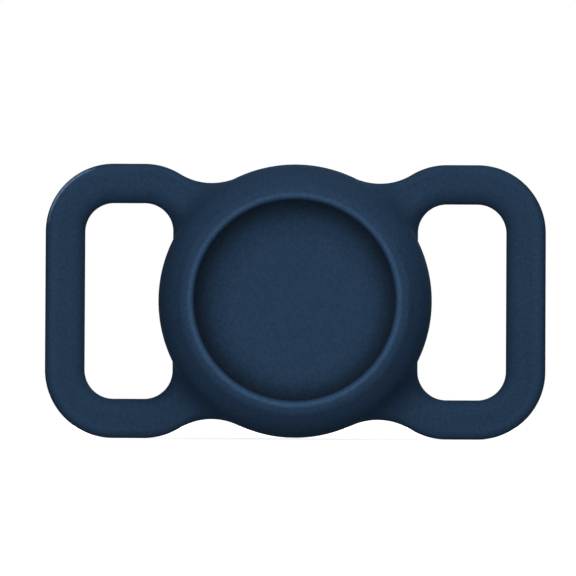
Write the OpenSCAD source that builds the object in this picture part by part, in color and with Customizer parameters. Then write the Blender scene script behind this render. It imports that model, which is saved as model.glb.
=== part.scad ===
// Holder for a round tracker tag, worn flat on a strap or collar.
// One soft silicone moulding: a round pocket with a stretchy lip, and a strap loop on each side.
// The moulding is drawn in the zones that work differently, which meet face to face.
// The shapes are drawn lying on their back, and upright() stands them up with the pocket facing -Y.

/* [Tag] */
// Diameter of the coin-shaped tag that snaps into the pocket
tag_d = 32; // [28:0.5:36]
// Thickness of the tag
tag_h = 8; // [7:0.1:10]
// Play around the tag, on its side and on its height
tag_gap = 0.1; // [0:0.05:0.4]

/* [Pocket] */
// Thickness of the pocket's floor, which a thumb pushes to free the tag
floor_t = 1.8; // [1.2:0.1:3]
// Thickness of the pocket's side wall
wall_t = 2.27; // [1.8:0.01:3.5]
// Thickness of the lip over the tag's edge
lip_t = 1.6; // [1.2:0.1:2.4]
// How far the lip reaches in over the tag
lip_reach = 2.7; // [1.6:0.01:3.5]
// Rounding of the lip's nose, above and below
nose_r = 0.75; // [0.4:0.05:0.8]
// Radius of the ridge that the lip's crest rolls over on its outer side
ridge_r = 2; // [1.5:0.1:2.4]
// Angle at which the ring slopes down from the ridge towards the wall
slope_angle = 46; // [44:1:48]
// Radius of the brow that turns the slope into the upright wall
brow_r = 8; // [6:0.5:8.5]
// Rounding inside the pocket, where the wall meets the floor and the lip
corner_r = 1.2; // [0.5:0.1:1.4]

/* [Strap slots] */
// Width of the strap that passes through both slots
strap_w = 25.4; // [20:0.1:30]
// Play at each edge of the strap
strap_gap = 0.52; // [0.2:0.01:1]
// Opening of each slot along the holder, at its corners
slot_w = 11.94; // [10:0.01:16]
// Radius of the slot's four corners
slot_corner_r = 3.9; // [2.5:0.1:5]
// How far the pocket's round wall bulges into each slot
slot_cover = 1.85; // [1:0.01:3]

/* [Loops] */
// Width of the loop's bar, all round the slot
bar_w = 5.3; // [4:0.01:7]
// Thickness of the loop
bar_t = 3; // [2.4:0.1:4]
// Rounding of the loop's front edges
edge_r = 1.2; // [0.6:0.1:1.6]

/* [Arms and webs] */
// Radius of the hollow valley between the pocket and each loop's shoulder
valley_r = 8.5; // [6:0.1:12]
// Radius of the blend at the foot of the pocket's wall
foot_r = 2.2; // [1:0.1:2.6]
// Angle at which the web's tip ends, before it would run out to nothing on the pocket's wall
tip_angle = 7; // [5:1:10]

/* [Hidden] */
$fn = 96;
silicone = "#263a52";

pocket_r = tag_d / 2 + tag_gap;
pocket_h = tag_h + tag_gap;
wall_r = pocket_r + wall_t;
mouth_r = pocket_r - lip_reach;
lip_z = floor_t + pocket_h;
total_h = lip_z + lip_t;

// The crest stands straight above the nose's middle, and the slope touches the ridge and the brow.
crest_r = mouth_r + nose_r;
ridge = [crest_r, total_h - ridge_r];
uphill = [sin(slope_angle), cos(slope_angle)];
brow_in = wall_r - brow_r;
brow_z = (uphill * ridge + ridge_r - brow_r - uphill.x * brow_in) / uphill.y;
brow = [brow_in, brow_z];

slot_in = wall_r - slot_cover;
slot_out = slot_in + slot_w;
slot_top = strap_w / 2 + strap_gap;
loop_out = slot_out + bar_w;
arm_out = (slot_in + slot_out) / 2;

// The shoulder of the loop turns about the slot's own corner, so the bar keeps its width.
shoulder = [slot_in + slot_corner_r, slot_top - slot_corner_r];
shoulder_r = slot_corner_r + bar_w;
far_corner = [slot_out - slot_corner_r, shoulder.y];

// The valley's arc touches the pocket's wall and the shoulder: its centre comes from that triangle.
to_shoulder = norm(shoulder);
to_valley = wall_r + valley_r;
valley_side = shoulder_r + valley_r;
valley_along = (pow(to_shoulder, 2) + pow(to_valley, 2) - pow(valley_side, 2)) / (2 * to_shoulder);
valley_off = sqrt(pow(to_valley, 2) - pow(valley_along, 2));
along = shoulder / to_shoulder;
valley = [along.x * valley_along - along.y * valley_off, along.y * valley_along + along.x * valley_off];
shoulder_end = atan2(valley.y - shoulder.y, valley.x - shoulder.x);
valley_start = atan2(-valley.y, -valley.x) + tip_angle;
valley_turn = shoulder_end - 180 - valley_start;
// Whole degrees, so that the rounding ends exactly where the slot's straight begins.
slot_turn = ceil(180 + tip_angle - shoulder_end);

// How far a cutting shape runs past what it cuts.
overrun = 1;
// A hair by which a round and the flat that it touches are shifted, so that they cross cleanly.
skim = nose_r / 1000;
// Flat strip left between the web's rounded edges and the ends of the blend.
foot_margin = edge_r / 4;

echo(length = 2 * loop_out, height = 2 * (slot_top + bar_w), thickness = total_h);
echo(hinge_from_centre = (slot_in + arm_out) / 2, slot_in = slot_in, arm_out = arm_out, valley = valley);

// Stands a shape that is drawn lying on its back upright, with its front facing -Y.
module upright() {
    rotate([90, 0, 0]) children();
}

// Copies the upper right quarter to another one: side and level are 1 or -1.
module quarter(side, level) {
    scale([side, level, 1]) children();
}

// Half of the holder's outline in section: the upright wall, the brow, the slope and the ridge.
module body_section() {
    square([wall_r, brow_z]);
    translate(brow) intersection() {
        circle(brow_r);
        square(brow_r);
    }
    polygon([
        [0, 0],
        [brow_in, 0],
        brow + (brow_r - skim) * uphill,
        ridge + (ridge_r - skim) * uphill,
        ridge,
        [0, ridge.y]
    ]);
    translate(ridge) intersection() {
        circle(ridge_r);
        square(ridge_r);
    }
}

// The hollow that holds the tag, with its corners rounded above and below.
module pocket_section() {
    flat_r = pocket_r - corner_r;
    translate([0, floor_t]) {
        square([flat_r, pocket_h]);
        translate([0, corner_r]) square([pocket_r, pocket_h - 2 * corner_r]);
        for (z = [corner_r, pocket_h - corner_r]) translate([flat_r, z]) circle(corner_r);
    }
}

// The lip: a round nose at the mouth, backed by the ridge and the top of the slope.
module lip_section() {
    translate([mouth_r, lip_z + nose_r]) square([nose_r, lip_t - 2 * nose_r]);
    for (side = [1, -1]) translate([crest_r, lip_z + lip_t / 2 + side * (lip_t / 2 - nose_r)]) {
        scale([-1, side]) intersection() {
            circle(nose_r);
            square(nose_r);
        }
    }
    intersection() {
        body_section();
        translate([crest_r, lip_z]) square([wall_r, lip_t]);
    }
}

// The bar of a loop in section, from its slot edge at zero: both front edges are rounded.
module bar_section() {
    square([bar_w, bar_t - edge_r]);
    translate([edge_r, 0]) square([bar_w - 2 * edge_r, bar_t]);
    for (x = [edge_r, bar_w - edge_r]) translate([x, bar_t - edge_r]) circle(edge_r);
}

// What rounding takes off a front edge that lies at zero, with the body on its +X side.
module edge_cut() {
    difference() {
        translate([-overrun, 0]) square([overrun + edge_r - skim, edge_r + overrun]);
        translate([edge_r - skim, 0]) circle(edge_r);
    }
}

// Runs a section that stands on the plane along +X for a length.
module along_x(length) {
    rotate([90, 0, 90]) linear_extrude(length) children();
}

// Turns a section about a centre, from one angle through another.
module around(centre, from, turn) {
    translate(centre) rotate([0, 0, from]) rotate_extrude(angle = turn) children();
}

// The upper right quarter of a loop: the end of its straight, its corner and half of the outer bar.
module loop_quarter() {
    translate([arm_out, slot_top]) along_x(far_corner.x - arm_out) bar_section();
    around(far_corner, 0, 90) translate([slot_corner_r, 0]) bar_section();
    translate([slot_out, far_corner.y]) rotate([90, 0, 0]) linear_extrude(far_corner.y) bar_section();
}

// The upper right arm: a straight stretch, then the shoulder's turn down to the web.
module arm_quarter() {
    translate([shoulder.x, slot_top]) along_x(arm_out - shoulder.x) bar_section();
    around(shoulder, 90, shoulder_end - 90) translate([slot_corner_r, 0]) bar_section();
}

// The upper right web in outline, between valley and slot: edge draws it narrower at both.
module web_outline(edge) {
    difference() {
        polygon([[0, 0], shoulder, valley]);
        translate(valley) circle(valley_r + edge);
        translate(shoulder) circle(slot_corner_r + edge);
        translate([slot_in - edge, 0]) square(shoulder);
    }
}

// Keeps the web's tip off the last few degrees, where valley and wall run together.
module tip_outline() {
    translate(valley) rotate([0, 0, valley_start]) mirror([0, 1]) square(to_valley);
}

// What rounding takes off the web's front edge along the valley.
module valley_edge_cut() {
    around(valley, valley_start - tip_angle, valley_turn + 2 * tip_angle) {
        translate([valley_r, 0]) edge_cut();
    }
}

// What rounding takes off the web's front edge round the slot's corner.
module corner_edge_cut() {
    around(shoulder, 180 - slot_turn, slot_turn) {
        translate([slot_corner_r, 0]) edge_cut();
    }
}

// What rounding takes off the web's front edge where the slot's side runs straight.
module side_edge_cut() {
    translate([slot_in, shoulder.y]) rotate([90, 0, 0]) {
        linear_extrude(shoulder.y) mirror([1, 0]) edge_cut();
    }
}

// The web before it is blended into the wall: its three edges are rounded one after the other.
module web_plate() {
    difference() {
        difference() {
            difference() {
                linear_extrude(bar_t) difference() {
                    web_outline(0);
                    tip_outline();
                }
                translate([0, 0, bar_t - edge_r]) valley_edge_cut();
            }
            translate([0, 0, bar_t - edge_r]) corner_edge_cut();
        }
        translate([0, 0, bar_t - edge_r]) side_edge_cut();
    }
}

// The blend that rises from the web's flat to the pocket's wall.
module web_foot() {
    intersection() {
        rotate_extrude() difference() {
            translate([wall_r - foot_r, bar_t - edge_r]) square([2 * foot_r, edge_r + foot_r]);
            translate([wall_r + foot_r, bar_t + foot_r]) circle(foot_r);
        }
        linear_extrude(bar_t + foot_r) web_outline(edge_r + foot_margin);
    }
}

// The upper right web, trimmed to the pocket's round wall.
module web_quarter() {
    difference() {
        union() {
            web_plate();
            web_foot();
        }
        translate([0, 0, -overrun]) cylinder(h = total_h, r = wall_r);
    }
}

module pocket_floor() {
    color(silicone) upright() cylinder(h = floor_t, r = wall_r);
}

module pocket_wall() {
    color(silicone) upright() rotate_extrude() difference() {
        intersection() {
            body_section();
            translate([0, floor_t]) square([wall_r, pocket_h]);
        }
        pocket_section();
    }
}

module retaining_lip() {
    color(silicone) upright() rotate_extrude() lip_section();
}

module strap_loop(side) {
    color(silicone) upright() for (level = [1, -1]) quarter(side, level) loop_quarter();
}

module arm(side, level) {
    color(silicone) upright() quarter(side, level) arm_quarter();
}

module web(side, level) {
    color(silicone) upright() quarter(side, level) web_quarter();
}

pocket_floor();
pocket_wall();
retaining_lip();
strap_loop(-1);  // left_strap_loop
strap_loop(1);  // right_strap_loop
arm(-1, 1);  // upper_left_arm
arm(1, 1);  // upper_right_arm
arm(-1, -1);  // lower_left_arm
arm(1, -1);  // lower_right_arm
web(-1, 1);  // upper_left_web
web(1, 1);  // upper_right_web
web(-1, -1);  // lower_left_web
web(1, -1);  // lower_right_web
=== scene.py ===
import math

import bmesh
import bpy
import numpy as np
from mathutils import Matrix, Quaternion, Vector


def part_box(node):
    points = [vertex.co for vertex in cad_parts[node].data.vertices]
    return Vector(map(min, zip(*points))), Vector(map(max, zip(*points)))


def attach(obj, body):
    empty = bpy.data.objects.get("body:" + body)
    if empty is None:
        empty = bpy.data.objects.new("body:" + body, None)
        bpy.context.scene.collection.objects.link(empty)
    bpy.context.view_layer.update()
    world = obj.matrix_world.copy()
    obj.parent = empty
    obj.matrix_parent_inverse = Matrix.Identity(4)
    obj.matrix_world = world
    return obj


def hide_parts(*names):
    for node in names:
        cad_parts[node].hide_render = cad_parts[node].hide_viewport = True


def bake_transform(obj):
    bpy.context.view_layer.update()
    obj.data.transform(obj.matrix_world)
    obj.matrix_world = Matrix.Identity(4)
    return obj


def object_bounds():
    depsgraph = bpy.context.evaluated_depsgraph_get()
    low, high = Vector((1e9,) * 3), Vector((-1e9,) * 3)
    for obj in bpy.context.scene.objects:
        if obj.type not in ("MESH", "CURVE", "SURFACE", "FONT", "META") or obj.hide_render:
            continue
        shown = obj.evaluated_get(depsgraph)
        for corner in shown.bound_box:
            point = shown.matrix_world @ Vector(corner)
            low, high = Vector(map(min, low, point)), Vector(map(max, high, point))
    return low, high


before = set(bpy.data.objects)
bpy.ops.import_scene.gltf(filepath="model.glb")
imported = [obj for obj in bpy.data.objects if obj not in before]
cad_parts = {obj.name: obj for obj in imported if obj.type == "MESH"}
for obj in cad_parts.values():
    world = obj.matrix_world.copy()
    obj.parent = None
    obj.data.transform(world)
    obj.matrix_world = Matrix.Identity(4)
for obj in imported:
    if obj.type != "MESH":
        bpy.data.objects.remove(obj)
cadBox = [list(corner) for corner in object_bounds()]
scene = bpy.context.scene
mm = 0.001


def boxInMm(node):
    # a CAD node's box in millimetres, in which the moulding is shaped
    low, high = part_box(node)
    return low / mm, high / mm


floorLow, floorHigh = boxInMm("pocket_floor")
lipLow, lipHigh = boxInMm("retaining_lip")
loopLow, loopHigh = boxInMm("right_strap_loop")
barWidth = 5.3
slotWidth = 11.94
lipInset = 0.6  # the lip is parted this far in front of the pocket's wall

# Sizes of the silicone moulding in millimetres: each is an input of its tree
moulding = {
    "Wall Radius": floorHigh.x,
    "Floor Height": -floorLow.y,
    "Lip Height": -lipHigh.y,
    "Total Height": -lipLow.y,
    "Pocket Radius": 16.1,
    "Mouth Radius": 13.4,
    "Nose Radius": 0.75,
    "Ridge Radius": 2.0,
    "Slope Angle": math.radians(46),
    "Brow Radius": 8.0,
    "Corner Radius": 1.2,
    "Bar Width": barWidth,
    "Bar Height": -loopLow.y,
    "Edge Radius": 1.2,
    "Slot Edge Radius": 2.2,
    "Back Radius": 0.35,
    "Slot Inner": loopHigh.x - barWidth - slotWidth,
    "Slot Outer": loopHigh.x - barWidth,
    "Slot Top": loopHigh.z - barWidth,
    "Slot Radius": 3.9,
    "Valley Radius": 8.5,
    "Foot Radius": 4.5,
    "Seam Radius": 0.03,
    "Plate Overlap": 1.0,
}
# How finely the moulding is sampled, in millimetres
sampling = {
    "voxel": 0.23,
    "margin": 0.8,  # empty rim round the moulding
    "probe": 0.02,  # step that measures how the distance changes
    "settleSteps": 3,  # times that each point moves onto the true surface
}
# Where the moulding is parted, in millimetres
parting = {
    "armInner": 17.0,  # an arm is parted from the pocket here
    "armOuter": loopLow.x,  # and is one with its loop from here
    "armLevel": 9.0,  # arms lie above this height, the pocket's wall below it
    "lipPlane": -lipHigh.y - lipInset,
    "tolerance": 0.01,  # an edge this near the lip's plane lies on it
    "onPlane": 1e-5,  # and a point this near any cutting plane lies on that plane
}


class Term:
    # a number inside a node tree: sums of terms add Math nodes to that tree
    def __init__(self, tree, socket):
        self.tree = tree
        self.socket = socket

    def __add__(self, other):
        return mathNode(self.tree, "ADD", self, other)

    def __sub__(self, other):
        return mathNode(self.tree, "SUBTRACT", self, other)

    def __mul__(self, other):
        return mathNode(self.tree, "MULTIPLY", self, other)

    def __truediv__(self, other):
        return mathNode(self.tree, "DIVIDE", self, other)

    def __neg__(self):
        return mathNode(self.tree, "MULTIPLY", self, -1.0)


def feed(tree, socket, value):
    # gives a socket a term, another node's socket or a plain value
    if isinstance(value, Term):
        value = value.socket
    if isinstance(value, bpy.types.NodeSocket):
        tree.links.new(value, socket)
    else:
        socket.default_value = value


def mathNode(tree, operation, *values):
    node = tree.nodes.new("ShaderNodeMath")
    node.operation = operation
    for socket, value in zip(node.inputs, values):
        feed(tree, socket, value)
    return Term(tree, node.outputs[0])


def vectorNode(tree, operation, *values):
    node = tree.nodes.new("ShaderNodeVectorMath")
    node.operation = operation
    for socket, value in zip(node.inputs, values):
        feed(tree, socket, value)
    return node.outputs[0]


def scaled(tree, vector, amount):
    # a vector or a fixed colour, times a number
    node = tree.nodes.new("ShaderNodeVectorMath")
    node.operation = "SCALE"
    feed(tree, node.inputs[0], vector)
    feed(tree, node.inputs["Scale"], amount)
    return node.outputs[0]


def larger(a, b):
    return mathNode(a.tree, "MAXIMUM", a, b)


def smaller(a, b):
    return mathNode(a.tree, "MINIMUM", a, b)


def unsigned(a):
    return mathNode(a.tree, "ABSOLUTE", a)


def length(a, b):
    return mathNode(a.tree, "SQRT", a * a + b * b)


def above(a, limit):
    # 1 where a is over the limit, and 0 elsewhere
    return mathNode(a.tree, "GREATER_THAN", a, limit)


def pick(mask, yes, no):
    return mask * (yes - no) + no


def share(a, low, high):
    # 0 up to low, 1 from high on, and straight between them
    return smaller(larger((a - low) / (high - low), 0.0), 1.0)


def eased(a):
    # a share with a soft start and a soft end
    return a * a * (-(a * 2.0) + 3.0)


def bell(a, middle, width):
    # 1 at the middle, fading out on both sides
    off = (a - middle) / width
    return mathNode(a.tree, "EXPONENT", -(off * off))


def joined(a, b, radius):
    # union of two distances, with a round fillet where they meet
    fillet = length(larger(radius - a, 0.0), larger(radius - b, 0.0))
    return larger(radius, smaller(a, b)) - fillet


def shared(a, b, radius):
    # what two distances share, with a round edge where they meet
    rounding = length(larger(radius + a, 0.0), larger(radius + b, 0.0))
    return smaller(-radius, larger(a, b)) + rounding


def roundedBox(across, up, halfAcross, halfUp, radius):
    # distance to a rectangle with round corners, from its centre
    x = unsigned(across) - (halfAcross - radius)
    y = unsigned(up) - (halfUp - radius)
    return length(larger(x, 0.0), larger(y, 0.0)) + smaller(larger(x, y), 0.0) - radius


def ringDistance(s, radial, height):
    # outside of the ring: ridge over the lip, slope, brow and upright wall
    tilt = s["Slope Angle"]
    outward = mathNode(tilt.tree, "SINE", tilt)
    upward = mathNode(tilt.tree, "COSINE", tilt)
    ridge, brow = s["Ridge Radius"], s["Brow Radius"]
    x = radial - s["Mouth Radius"] - s["Nose Radius"]
    y = height - s["Total Height"] + ridge
    # from the ridge's centre to the brow's, across and down the slope
    across = s["Wall Radius"] - brow - s["Mouth Radius"] - s["Nose Radius"]
    drop = (ridge - brow - outward * across) / upward
    run = across * upward - drop * outward
    slope = x * outward + y * upward - ridge
    downhill = x * upward - y * outward
    overRidge = pick(above(x, 0.0), length(x, y), y) - ridge
    overBrow = pick(above(y, drop), length(x - across, y - drop), x - across) - brow
    return pick(above(downhill, run), overBrow, pick(above(downhill, 0.0), slope, overRidge))


def pocketDistance(s, radial, height):
    # the round pocket: the ring outside, and floor, wall and lip inside
    lip = shared(s["Mouth Radius"] - radial, s["Lip Height"] - height, s["Nose Radius"])
    inner = joined(lip, s["Pocket Radius"] - radial, s["Corner Radius"])
    inner = joined(inner, height - s["Floor Height"], s["Corner Radius"])
    return shared(ringDistance(s, radial, height), inner, s["Nose Radius"])


def slotDistance(s, x, z):
    # the slot's opening, with round corners
    middle = (s["Slot Inner"] + s["Slot Outer"]) * 0.5
    half = (s["Slot Outer"] - s["Slot Inner"]) * 0.5
    return roundedBox(x - middle, z, half, s["Slot Top"], s["Slot Radius"])


def loopDistance(s, x, z):
    # the loop's outer edge: a bar's width all round the slot
    bar = s["Bar Width"]
    middle = (s["Slot Inner"] + s["Slot Outer"]) * 0.5
    half = (s["Slot Outer"] - s["Slot Inner"]) * 0.5
    return roundedBox(x - middle, z, half + bar, s["Slot Top"] + bar, s["Slot Radius"] + bar)


def plateDistance(s, x, z):
    # the loops and the webs, and the valley that runs from each shoulder to the pocket
    shoulderX = s["Slot Inner"] + s["Slot Radius"]
    shoulderZ = s["Slot Top"] - s["Slot Radius"]
    # the valley's centre, from its distances to the pocket's axis and to the shoulder's centre
    span = length(shoulderX, shoulderZ)
    toAxis = s["Wall Radius"] + s["Valley Radius"]
    toShoulder = s["Slot Radius"] + s["Bar Width"] + s["Valley Radius"]
    along = (span * span + toAxis * toAxis - toShoulder * toShoulder) / (span * 2.0)
    off = mathNode(span.tree, "SQRT", toAxis * toAxis - along * along)
    valleyX = (shoulderX * along - shoulderZ * off) / span
    valleyZ = (shoulderZ * along + shoulderX * off) / span
    fromX, fromZ = x - valleyX, z - valleyZ
    valley = s["Valley Radius"] - length(fromX, fromZ)
    pastShoulder = ((shoulderX - valleyX) * fromZ - (shoulderZ - valleyZ) * fromX) / toShoulder
    pastTip = (valleyX * fromZ - valleyZ * fromX) / toAxis
    web = pick(above(pastTip, 0.0), larger(valley, pastTip), valley)
    return pick(above(pastShoulder, 0.0), loopDistance(s, x, z), web)


def buildDistanceGroup():
    # distance from any place to the moulding's surface: negative inside, in millimetres
    group = bpy.data.node_groups.new("holderDistance", "GeometryNodeTree")
    group.interface.new_socket("Place", in_out="INPUT", socket_type="NodeSocketVector")
    for name in moulding:
        group.interface.new_socket(name, in_out="INPUT", socket_type="NodeSocketFloat")
    group.interface.new_socket("Distance", in_out="OUTPUT", socket_type="NodeSocketFloat")
    given = group.nodes.new("NodeGroupInput")
    s = {name: Term(group, given.outputs[name]) for name in moulding}
    split = group.nodes.new("ShaderNodeSeparateXYZ")
    group.links.new(given.outputs["Place"], split.inputs[0])
    x = unsigned(Term(group, split.outputs["X"]))
    z = unsigned(Term(group, split.outputs["Z"]))
    height = -Term(group, split.outputs["Y"])
    radial = length(x, z)

    # the plate's front flows up into the ring's slope, and its edges are rounded wherever they are
    front = joined(ringDistance(s, radial, height), height - s["Bar Height"], s["Foot Radius"])
    plate = shared(plateDistance(s, x, z), front, s["Edge Radius"])
    plate = shared(-slotDistance(s, x, z), plate, s["Slot Edge Radius"])
    plate = larger(plate, s["Pocket Radius"] + s["Plate Overlap"] - radial)
    body = joined(pocketDistance(s, radial, height), plate, s["Seam Radius"])
    body = shared(body, -height, s["Back Radius"])

    out = group.nodes.new("NodeGroupOutput")
    group.links.new(body.socket, out.inputs["Distance"])
    return group


def buildMouldingTree(distance, material):
    tree = bpy.data.node_groups.new("siliconeMoulding", "GeometryNodeTree")
    for name in [*moulding, "Voxel", "Margin", "Probe"]:
        tree.interface.new_socket(name, in_out="INPUT", socket_type="NodeSocketFloat")
    tree.interface.new_socket("Geometry", in_out="OUTPUT", socket_type="NodeSocketGeometry")
    given = tree.nodes.new("NodeGroupInput")
    s = {item.name: Term(tree, given.outputs[item.name]) for item in tree.interface.items_tree
         if item.in_out == "INPUT"}
    place = tree.nodes.new("GeometryNodeInputPosition").outputs[0]

    def vector(*values):
        node = tree.nodes.new("ShaderNodeCombineXYZ")
        for socket, value in zip(node.inputs, values):
            feed(tree, socket, value)
        return node.outputs[0]

    def distanceAt(where):
        node = tree.nodes.new("GeometryNodeGroup")
        node.node_tree = distance
        tree.links.new(where, node.inputs["Place"])
        for name in moulding:
            tree.links.new(s[name].socket, node.inputs[name])
        return Term(tree, node.outputs[0])

    def awayHere():
        # unit vector away from the surface, from distances a probe's length to each side
        sides = []
        for axis in range(3):
            step = vector(*[s["Probe"] if axis == i else 0.0 for i in range(3)])
            ahead = distanceAt(vectorNode(tree, "ADD", place, step))
            behind = distanceAt(vectorNode(tree, "SUBTRACT", place, step))
            sides.append(ahead - behind)
        return vectorNode(tree, "NORMALIZE", vector(*sides))

    # fill a block with the distance, and skin it where the distance is zero
    halfX = s["Slot Outer"] + s["Bar Width"] + s["Margin"]
    halfZ = s["Slot Top"] + s["Bar Width"] + s["Margin"]
    front = s["Total Height"] + s["Margin"]
    block = tree.nodes.new("GeometryNodeVolumeCube")
    block.inputs["Background"].default_value = -1.0
    tree.links.new((-distanceAt(place)).socket, block.inputs["Density"])
    tree.links.new(vector(-halfX, -front, -halfZ), block.inputs["Min"])
    tree.links.new(vector(halfX, s["Margin"], halfZ), block.inputs["Max"])
    for name, extent in (("X", halfX * 2.0), ("Y", front + s["Margin"]), ("Z", halfZ * 2.0)):
        count = mathNode(tree, "ROUND", extent / s["Voxel"])
        tree.links.new(count.socket, block.inputs["Resolution " + name])
    skin = tree.nodes.new("GeometryNodeVolumeToMesh")
    skin.inputs["Threshold"].default_value = 0.0
    tree.links.new(block.outputs[0], skin.inputs["Volume"])
    geometry = skin.outputs[0]

    for _ in range(sampling["settleSteps"]):
        settle = tree.nodes.new("GeometryNodeSetPosition")
        tree.links.new(geometry, settle.inputs["Geometry"])
        tree.links.new(scaled(tree, awayHere(), -distanceAt(place)), settle.inputs["Offset"])
        geometry = settle.outputs[0]

    store = tree.nodes.new("GeometryNodeStoreNamedAttribute")
    store.data_type = "FLOAT_VECTOR"
    store.domain = "POINT"
    store.inputs["Name"].default_value = "trueNormal"
    tree.links.new(geometry, store.inputs["Geometry"])
    tree.links.new(awayHere(), store.inputs["Value"])
    shrink = tree.nodes.new("GeometryNodeTransform")
    shrink.inputs["Scale"].default_value = (mm, mm, mm)
    smooth = tree.nodes.new("GeometryNodeSetShadeSmooth")
    real = tree.nodes.new("GeometryNodeRealizeInstances")
    finish = tree.nodes.new("GeometryNodeSetMaterial")
    finish.inputs["Material"].default_value = material
    out = tree.nodes.new("NodeGroupOutput")
    chain = [store, shrink, smooth, real, finish, out]
    for before, after in zip(chain, chain[1:]):
        tree.links.new(before.outputs[0], after.inputs[0])
    return tree


# Colour and finish of the silicone, with its painted light and shade: linear colour, and sizes in
# millimetres
silicone = {
    "navy": (0.0189, 0.0413, 0.0806),
    "roughness": 0.62,
    "specular": 0.002,
    "paintedHighlightRadius": 14.0,  # painted highlight: the lip's crest is painted paler, as a thin line of light
    "paintedHighlightWidth": 0.34,
    "paintedHighlightDepth": 1.2,
    "paintedHighlightGain": 0.8,
    "highlightSkirtRadius": 14.85,  # painted highlight: a faint skirt of it outside the crest
    "highlightSkirtWidth": 0.4,
    "highlightSkirtGain": 0.1,
    "paintedFloorDepth": 2.0,  # how far over the pocket's floor its painted light and shade reach
    "paintedFloorLight": 0.24,  # painted light: the floor is painted a little paler
    "paintedFloorShade": (-0.36, -0.45, -0.52),  # painted shade: darker under the lip, red least
    "paintedShadeFrom": 10.6,
    "paintedShadeTo": 13.7,
    "margin": 0.1,
    "edgeHighlightInset": 1.15,  # painted highlight: a paler line just inside the loops' outer edge
    "edgeHighlightWidth": 0.6,
    "edgeHighlightGain": 0.1,
    "edgeHighlightFrom": 20.0,
    "edgeHighlightFull": 25.0,
    "pale": (0.115, 0.18, 0.27),  # painted highlight: a pale rim of light round the left loop's upper corner
    "rimHighlightInset": 0.3,
    "rimHighlightWidth": 0.16,
    "rimHighlightTowards": (-0.766, 0.643),  # seen from the corner's centre
    "rimHighlightFrom": 0.81,  # cosines of the angles where the painted highlight ends and where it is full
    "rimHighlightFull": 0.97,
    "rimHighlightGrain": 1.5,
    "grainSize": 0.42,
    "grainDetail": 2.0,
    "grainGain": 0.6,
    "cloudSize": 9.0,
    "cloudDetail": 3.0,
    "cloudGain": 0.1,
    "bumpStrength": 0.2,
    "bumpHeight": 0.02,
}


def pocketFloorMask(radial, y):
    # 1 on the pocket's floor and at the foot of its wall, where light and shade are painted
    deep = above(y, -moulding["Floor Height"] - silicone["paintedFloorDepth"])
    inside = above(-radial, -moulding["Pocket Radius"] - silicone["margin"])
    return deep * inside * above(-y, moulding["Floor Height"] - silicone["margin"])


def rimHighlightMask(x, z, fromEdge):
    # painted highlight: a thin pale line inside the left loop's upper corner, which fades out at both
    # its ends
    fromX = x + (moulding["Slot Outer"] - moulding["Slot Radius"])
    fromZ = z - (moulding["Slot Top"] - moulding["Slot Radius"])
    sideways, upwards = silicone["rimHighlightTowards"]
    turn = (fromX * sideways + fromZ * upwards) / length(fromX, fromZ)
    line = bell(fromEdge, -silicone["rimHighlightInset"], silicone["rimHighlightWidth"])
    return line * share(turn, silicone["rimHighlightFrom"], silicone["rimHighlightFull"])


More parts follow.
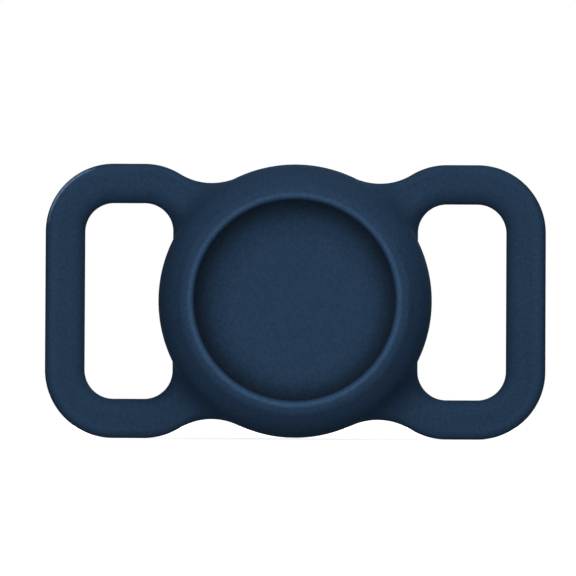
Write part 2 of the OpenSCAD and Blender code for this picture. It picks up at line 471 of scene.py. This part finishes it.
def buildSilicone():
    material = bpy.data.materials.new("navySilicone")
    material.use_nodes = True
    tree = material.node_tree
    nodes, links = tree.nodes, tree.links
    shader = nodes["Principled BSDF"]
    shader.inputs["Roughness"].default_value = silicone["roughness"]
    shader.inputs["Specular IOR Level"].default_value = silicone["specular"]
    place = nodes.new("ShaderNodeTexCoord").outputs["Object"]
    split = nodes.new("ShaderNodeSeparateXYZ")
    links.new(place, split.inputs[0])
    x, y, z = (Term(tree, split.outputs[i]) / mm for i in range(3))
    radial = length(x, z)

    def noise(size, detail):
        # from half below 0 to half above it
        node = nodes.new("ShaderNodeTexNoise")
        node.inputs["Scale"].default_value = 1.0 / (size * mm)
        node.inputs["Detail"].default_value = detail
        links.new(place, node.inputs["Vector"])
        return Term(tree, node.outputs[0]) - 0.5

    # painted highlight on the crest and its skirt, only on the lip's front
    crestHighlight = bell(radial, silicone["paintedHighlightRadius"], silicone["paintedHighlightWidth"]) * silicone["paintedHighlightGain"]
    highlightSkirt = bell(radial, silicone["highlightSkirtRadius"], silicone["highlightSkirtWidth"]) * silicone["highlightSkirtGain"]
    crestHighlight = (crestHighlight + highlightSkirt) * above(-y, moulding["Total Height"] - silicone["paintedHighlightDepth"])
    # painted light on the floor, and painted shade that darkens it smoothly towards its hidden edge
    # under the lip
    pocketFloor = pocketFloorMask(radial, y)
    under = share(radial, silicone["paintedShadeFrom"], silicone["paintedShadeTo"])
    paintedShade = eased(under) * pocketFloor
    # painted highlight: a paler line along the loops' outer edge, from the arms outwards
    fromEdge = loopDistance(moulding, unsigned(x), z)
    ridge = bell(fromEdge, -silicone["edgeHighlightInset"], silicone["edgeHighlightWidth"]) * silicone["edgeHighlightGain"]
    ridge = ridge * share(unsigned(x), silicone["edgeHighlightFrom"], silicone["edgeHighlightFull"])

    grain = noise(silicone["grainSize"], silicone["grainDetail"])
    cloud = noise(silicone["cloudSize"], silicone["cloudDetail"])
    # painted highlights on the crest and the loops' edge, and painted light on the pocket's floor
    gain = (crestHighlight + ridge + 1.0) * (pocketFloor * silicone["paintedFloorLight"] + 1.0)
    mottle = grain * silicone["grainGain"] + cloud * silicone["cloudGain"]
    paintedRimHighlight = rimHighlightMask(x, z, fromEdge) * (grain * silicone["rimHighlightGrain"] + 1.0)
    navy = scaled(tree, silicone["navy"], gain * (mottle + 1.0))
    # painted shade darkens the floor's colour under the lip
    shaded = vectorNode(tree, "MULTIPLY_ADD", navy, scaled(tree, silicone["paintedFloorShade"], paintedShade), navy)
    # painted highlight: the pale rim on the left loop's corner
    colour = vectorNode(tree, "ADD", shaded, scaled(tree, silicone["pale"], paintedRimHighlight))
    links.new(colour, shader.inputs["Base Color"])

    bump = nodes.new("ShaderNodeBump")
    bump.inputs["Strength"].default_value = silicone["bumpStrength"]
    bump.inputs["Distance"].default_value = silicone["bumpHeight"] * mm
    links.new(grain.socket, bump.inputs["Height"])
    links.new(bump.outputs[0], shader.inputs["Normal"])
    return material


def makeMoulding(material):
    tree = buildMouldingTree(buildDistanceGroup(), material)
    holder = bpy.data.objects.new("wholeMoulding", bpy.data.meshes.new("wholeMoulding"))
    scene.collection.objects.link(holder)
    modifier = holder.modifiers.new("shape", "NODES")
    modifier.node_group = tree
    values = {
        **moulding,
        "Voxel": sampling["voxel"],
        "Margin": sampling["margin"],
        "Probe": sampling["probe"],
    }
    for item in tree.interface.items_tree:
        if item.in_out == "INPUT":
            modifier[item.identifier] = float(values[item.name])
    bpy.context.view_layer.update()
    shaped = holder.evaluated_get(bpy.context.evaluated_depsgraph_get())
    mesh = bpy.data.meshes.new_from_object(shaped)
    holder.modifiers.remove(modifier)
    bpy.data.objects.remove(holder)
    return mesh


def cutAcross(bm, point, axis, faces):
    # adds a row of edges where a plane crosses some faces
    touched = {item for face in faces for item in (face, *face.edges, *face.verts)}
    near = parting["onPlane"] * mm
    bmesh.ops.bisect_plane(bm, geom=list(touched), dist=near, plane_co=point, plane_no=axis)


def zoneOf(face):
    # which piece of the moulding a face belongs to
    x, y, z = face.calc_center_median() / mm
    side = "left" if x < 0 else "right"
    if abs(x) > parting["armOuter"]:
        return side + "StrapLoop"
    if abs(x) > parting["armInner"] and abs(z) > parting["armLevel"]:
        return ("upper" if z > 0 else "lower") + side.capitalize() + "Arm"
    return "retainingLip" if -y > parting["lipPlane"] else "pocketCup"


def partMoulding(mesh, material):
    # cuts the one moulding into its pieces, each of them closed again where it was cut
    bm = bmesh.new()
    bm.from_mesh(mesh)
    for x in (parting["armInner"], parting["armOuter"]):
        for side in (1, -1):
            arms = [f for f in bm.faces if abs(f.calc_center_median().z) > parting["armLevel"] * mm]
            cutAcross(bm, (side * x * mm, 0, 0), (1, 0, 0), arms)
    cutAcross(bm, (0, -parting["lipPlane"] * mm, 0), (0, 1, 0), bm.faces[:])
    bm.faces.index_update()
    zones = {}
    for face in bm.faces:
        zones.setdefault(zoneOf(face), set()).add(face.index)
    whole = bpy.data.meshes.new("whole")
    bm.to_mesh(whole)
    bm.free()
    return {name: closedPiece(whole, name, faces, material) for name, faces in zones.items()}


def openRims(bm):
    # the piece's open edges, one list for each place where it was cut
    rims = {}
    for edge in bm.edges:
        if not edge.is_boundary:
            continue
        middle = (edge.verts[0].co + edge.verts[1].co) / 2 / mm
        onLip = abs(-middle.y - parting["lipPlane"]) < parting["tolerance"]
        key = "lip" if onLip else (round(middle.x, 1), middle.z > 0)
        rims.setdefault(key, []).append(edge)
    return rims.values()


def closedPiece(whole, name, keep, material):
    bm = bmesh.new()
    bm.from_mesh(whole)
    bmesh.ops.delete(bm, geom=[f for f in bm.faces if f.index not in keep], context="FACES")
    caps = set()
    for rim in openRims(bm):
        made = bmesh.ops.triangle_fill(bm, edges=rim, use_beauty=True, use_dissolve=False)
        caps.update(f for f in made["geom"] if isinstance(f, bmesh.types.BMFace))
    bmesh.ops.recalc_face_normals(bm, faces=bm.faces[:])
    bm.normal_update()
    isCap = [f in caps for f in bm.faces]
    mesh = bpy.data.meshes.new(name)
    bm.to_mesh(mesh)
    bm.free()

    # shade by the true surface's direction, and the flat caps by their own
    normals = np.zeros(len(mesh.vertices) * 3, np.float32)
    mesh.attributes["trueNormal"].data.foreach_get("vector", normals)
    corners = np.zeros(len(mesh.loops), np.int32)
    mesh.loops.foreach_get("vertex_index", corners)
    shading = normals.reshape(-1, 3)[corners]
    for face, cap in zip(mesh.polygons, isCap):
        if cap:
            shading[face.loop_start:face.loop_start + face.loop_total] = face.normal
    mesh.attributes.remove(mesh.attributes["trueNormal"])
    mesh.shade_smooth()
    mesh.normals_split_custom_set(shading)
    mesh.materials.append(material)
    piece = bpy.data.objects.new(name, mesh)
    scene.collection.objects.link(piece)
    return piece


navySilicone = buildSilicone()
wholeMoulding = makeMoulding(navySilicone)
print("moulding shaped:", len(wholeMoulding.polygons), "faces")
pieces = partMoulding(wholeMoulding, navySilicone)
print("moulding parted:", {name: len(piece.data.polygons) for name, piece in pieces.items()})

webs = [f"{level}_{side}_web" for level in ("upper", "lower") for side in ("left", "right")]
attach(pieces["pocketCup"], "pocket")
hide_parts("pocket_floor", "pocket_wall", *webs)
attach(pieces["retainingLip"], "pocket")
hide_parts("retaining_lip")
for side, sign in (("left", -1), ("right", 1)):
    loop = pieces[side + "StrapLoop"]
    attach(loop, side + "_loop")
    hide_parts(side + "_strap_loop")
    for level in ("upper", "lower"):
        arm = pieces[level + side.capitalize() + "Arm"]
        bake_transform(arm)
        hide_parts(f"{level}_{side}_arm")
print("pieces ride on their bodies")

# Studio: a camera almost level with the object, and a background that is white where it is seen
studio = {
    "distance": 0.7,
    "mmPerPixel": 0.1350,
    "imageSize": 576,
    "sensor": 36,
    "nearest": 0.01,
    "elevation": -1.35,
    "azimuth": 0.7,
    "roll": 0.28,
    "aim": (-1.0, -1.5, 1.83),
    "ambient": 0.05,
    "floorHalf": 1.5,
    "floorCells": 8,
    "floorColour": (0.7, 0.7, 0.7, 1),
    "floorRoughness": 0.8,
    "floorGlow": (0.53, 1.0),  # near the object, where its shadow shows, and away from it
    "glowReach": (0.06, 0.2),
}
# Lights: where they stand in metres, their width in metres and their power in watts
lights = {
    "front": {"place": (-0.012, -0.3, 0.02), "size": 0.38, "power": 0.99},
    "above": {"place": (0.04, -0.06, 0.3), "size": 0.2, "power": 0.42},
    "behind": {"place": (0.1, 0.42, 0.16), "size": 0.5, "power": 1.9},
}


def lookAt(thing, target):
    thing.rotation_mode = "QUATERNION"
    thing.rotation_quaternion = (Vector(target) - thing.location).to_track_quat("-Z", "Y")


def buildCamera():
    data = bpy.data.cameras.new("camera")
    camera = bpy.data.objects.new("camera", data)
    scene.collection.objects.link(camera)
    width = studio["imageSize"] * studio["mmPerPixel"] * mm
    data.sensor_width = studio["sensor"]
    data.lens = studio["sensor"] * studio["distance"] / width
    data.clip_start = studio["nearest"]
    turn, lift = math.radians(studio["azimuth"]), math.radians(studio["elevation"])
    back = Vector((math.sin(turn) * math.cos(lift), -math.cos(turn) * math.cos(lift), math.sin(lift)))
    aim = Vector(studio["aim"]) * mm
    camera.location = aim + back * studio["distance"]
    lookAt(camera, aim)
    camera.rotation_quaternion @= Quaternion((0, 0, 1), math.radians(studio["roll"]))
    scene.camera = camera


def whereSeen(tree):
    # 1 where a surface is looked at, also in reflections, and 0 where it only lights the object
    path = tree.nodes.new("ShaderNodeLightPath")
    seen = Term(tree, path.outputs["Is Camera Ray"])
    for name in ("Is Glossy Ray", "Is Transmission Ray"):
        seen = larger(seen, Term(tree, path.outputs[name]))
    return seen


def buildWorld():
    world = bpy.data.worlds.new("studio")
    scene.world = world
    world.use_nodes = True
    tree = world.node_tree
    sky = tree.nodes["Background"]
    sky.inputs["Color"].default_value = (1, 1, 1, 1)
    level = pick(whereSeen(tree), 1.0, studio["ambient"])
    tree.links.new(level.socket, sky.inputs["Strength"])


def buildLights():
    for name, given in lights.items():
        light = bpy.data.lights.new(name, "AREA")
        light.shape = "DISK"
        light.size = given["size"]
        light.energy = given["power"]
        lamp = bpy.data.objects.new(name, light)
        lamp.location = given["place"]
        lamp.visible_camera = False
        lamp.visible_glossy = name != "behind"  # so that no streak runs along the necks
        lookAt(lamp, (0, 0, 0))
        scene.collection.objects.link(lamp)


def buildPaleFloor():
    pale = bpy.data.materials.new("paleFloor")
    pale.use_nodes = True
    tree = pale.node_tree
    shader = tree.nodes["Principled BSDF"]
    shader.inputs["Base Color"].default_value = studio["floorColour"]
    shader.inputs["Roughness"].default_value = studio["floorRoughness"]
    shader.inputs["Emission Color"].default_value = (1, 1, 1, 1)
    split = tree.nodes.new("ShaderNodeSeparateXYZ")
    tree.links.new(tree.nodes.new("ShaderNodeTexCoord").outputs["Object"], split.inputs[0])
    near, far = studio["glowReach"]
    away = share(length(Term(tree, split.outputs["X"]), Term(tree, split.outputs["Y"])), near, far)
    dim, full = studio["floorGlow"]
    glow = whereSeen(tree) * (away * (full - dim) + dim)
    tree.links.new(glow.socket, shader.inputs["Emission Strength"])
    return pale


def buildFloor():
    bm = bmesh.new()
    cells = studio["floorCells"]
    bmesh.ops.create_grid(bm, x_segments=cells, y_segments=cells, size=studio["floorHalf"])
    data = bpy.data.meshes.new("floor")
    bm.to_mesh(data)
    bm.free()
    data.transform(Matrix.Translation((0, 0, cadBox[0][2])))
    data.materials.append(buildPaleFloor())
    floor = bpy.data.objects.new("floor", data)
    scene.collection.objects.link(floor)
    floor.visible_shadow = False  # the lower half of the front light reaches the object too
    floor.visible_diffuse = False  # and no pale light comes up from below


buildCamera()
buildWorld()
buildLights()
buildFloor()
scene.view_settings.view_transform = "Standard"
print("studio built")
